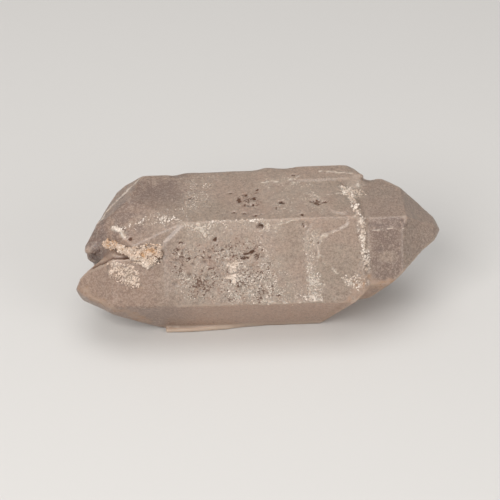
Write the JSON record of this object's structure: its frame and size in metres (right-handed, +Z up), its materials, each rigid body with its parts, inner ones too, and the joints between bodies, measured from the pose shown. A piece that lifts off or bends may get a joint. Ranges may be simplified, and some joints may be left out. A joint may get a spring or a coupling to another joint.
{
  "type": "double terminated quartz specimen",
  "caption": "Natural milky quartz specimen: intergrown parallel crystals with a point at each end, grain crusts, etch pits and earthy crust in a cleft. Rests on a small flat.",
  "frame": {"origin": "centre of the specimen's bounding box, at the height of the flat that it rests on", "axes": "+X along the crystals towards the right point, -Y towards the broad front face, +Z up"},
  "size_m": [0.09, 0.042, 0.0321],
  "materials": {
    "quartz": "frosted milky quartz, warm grey beige",
    "crust": "matte ochre to cream earthy crust"
  },
  "bodies": {
    "root": {"quartz_crystals": "quartz", "cleft_crust": "crust"}
  },
  "joints": []
}
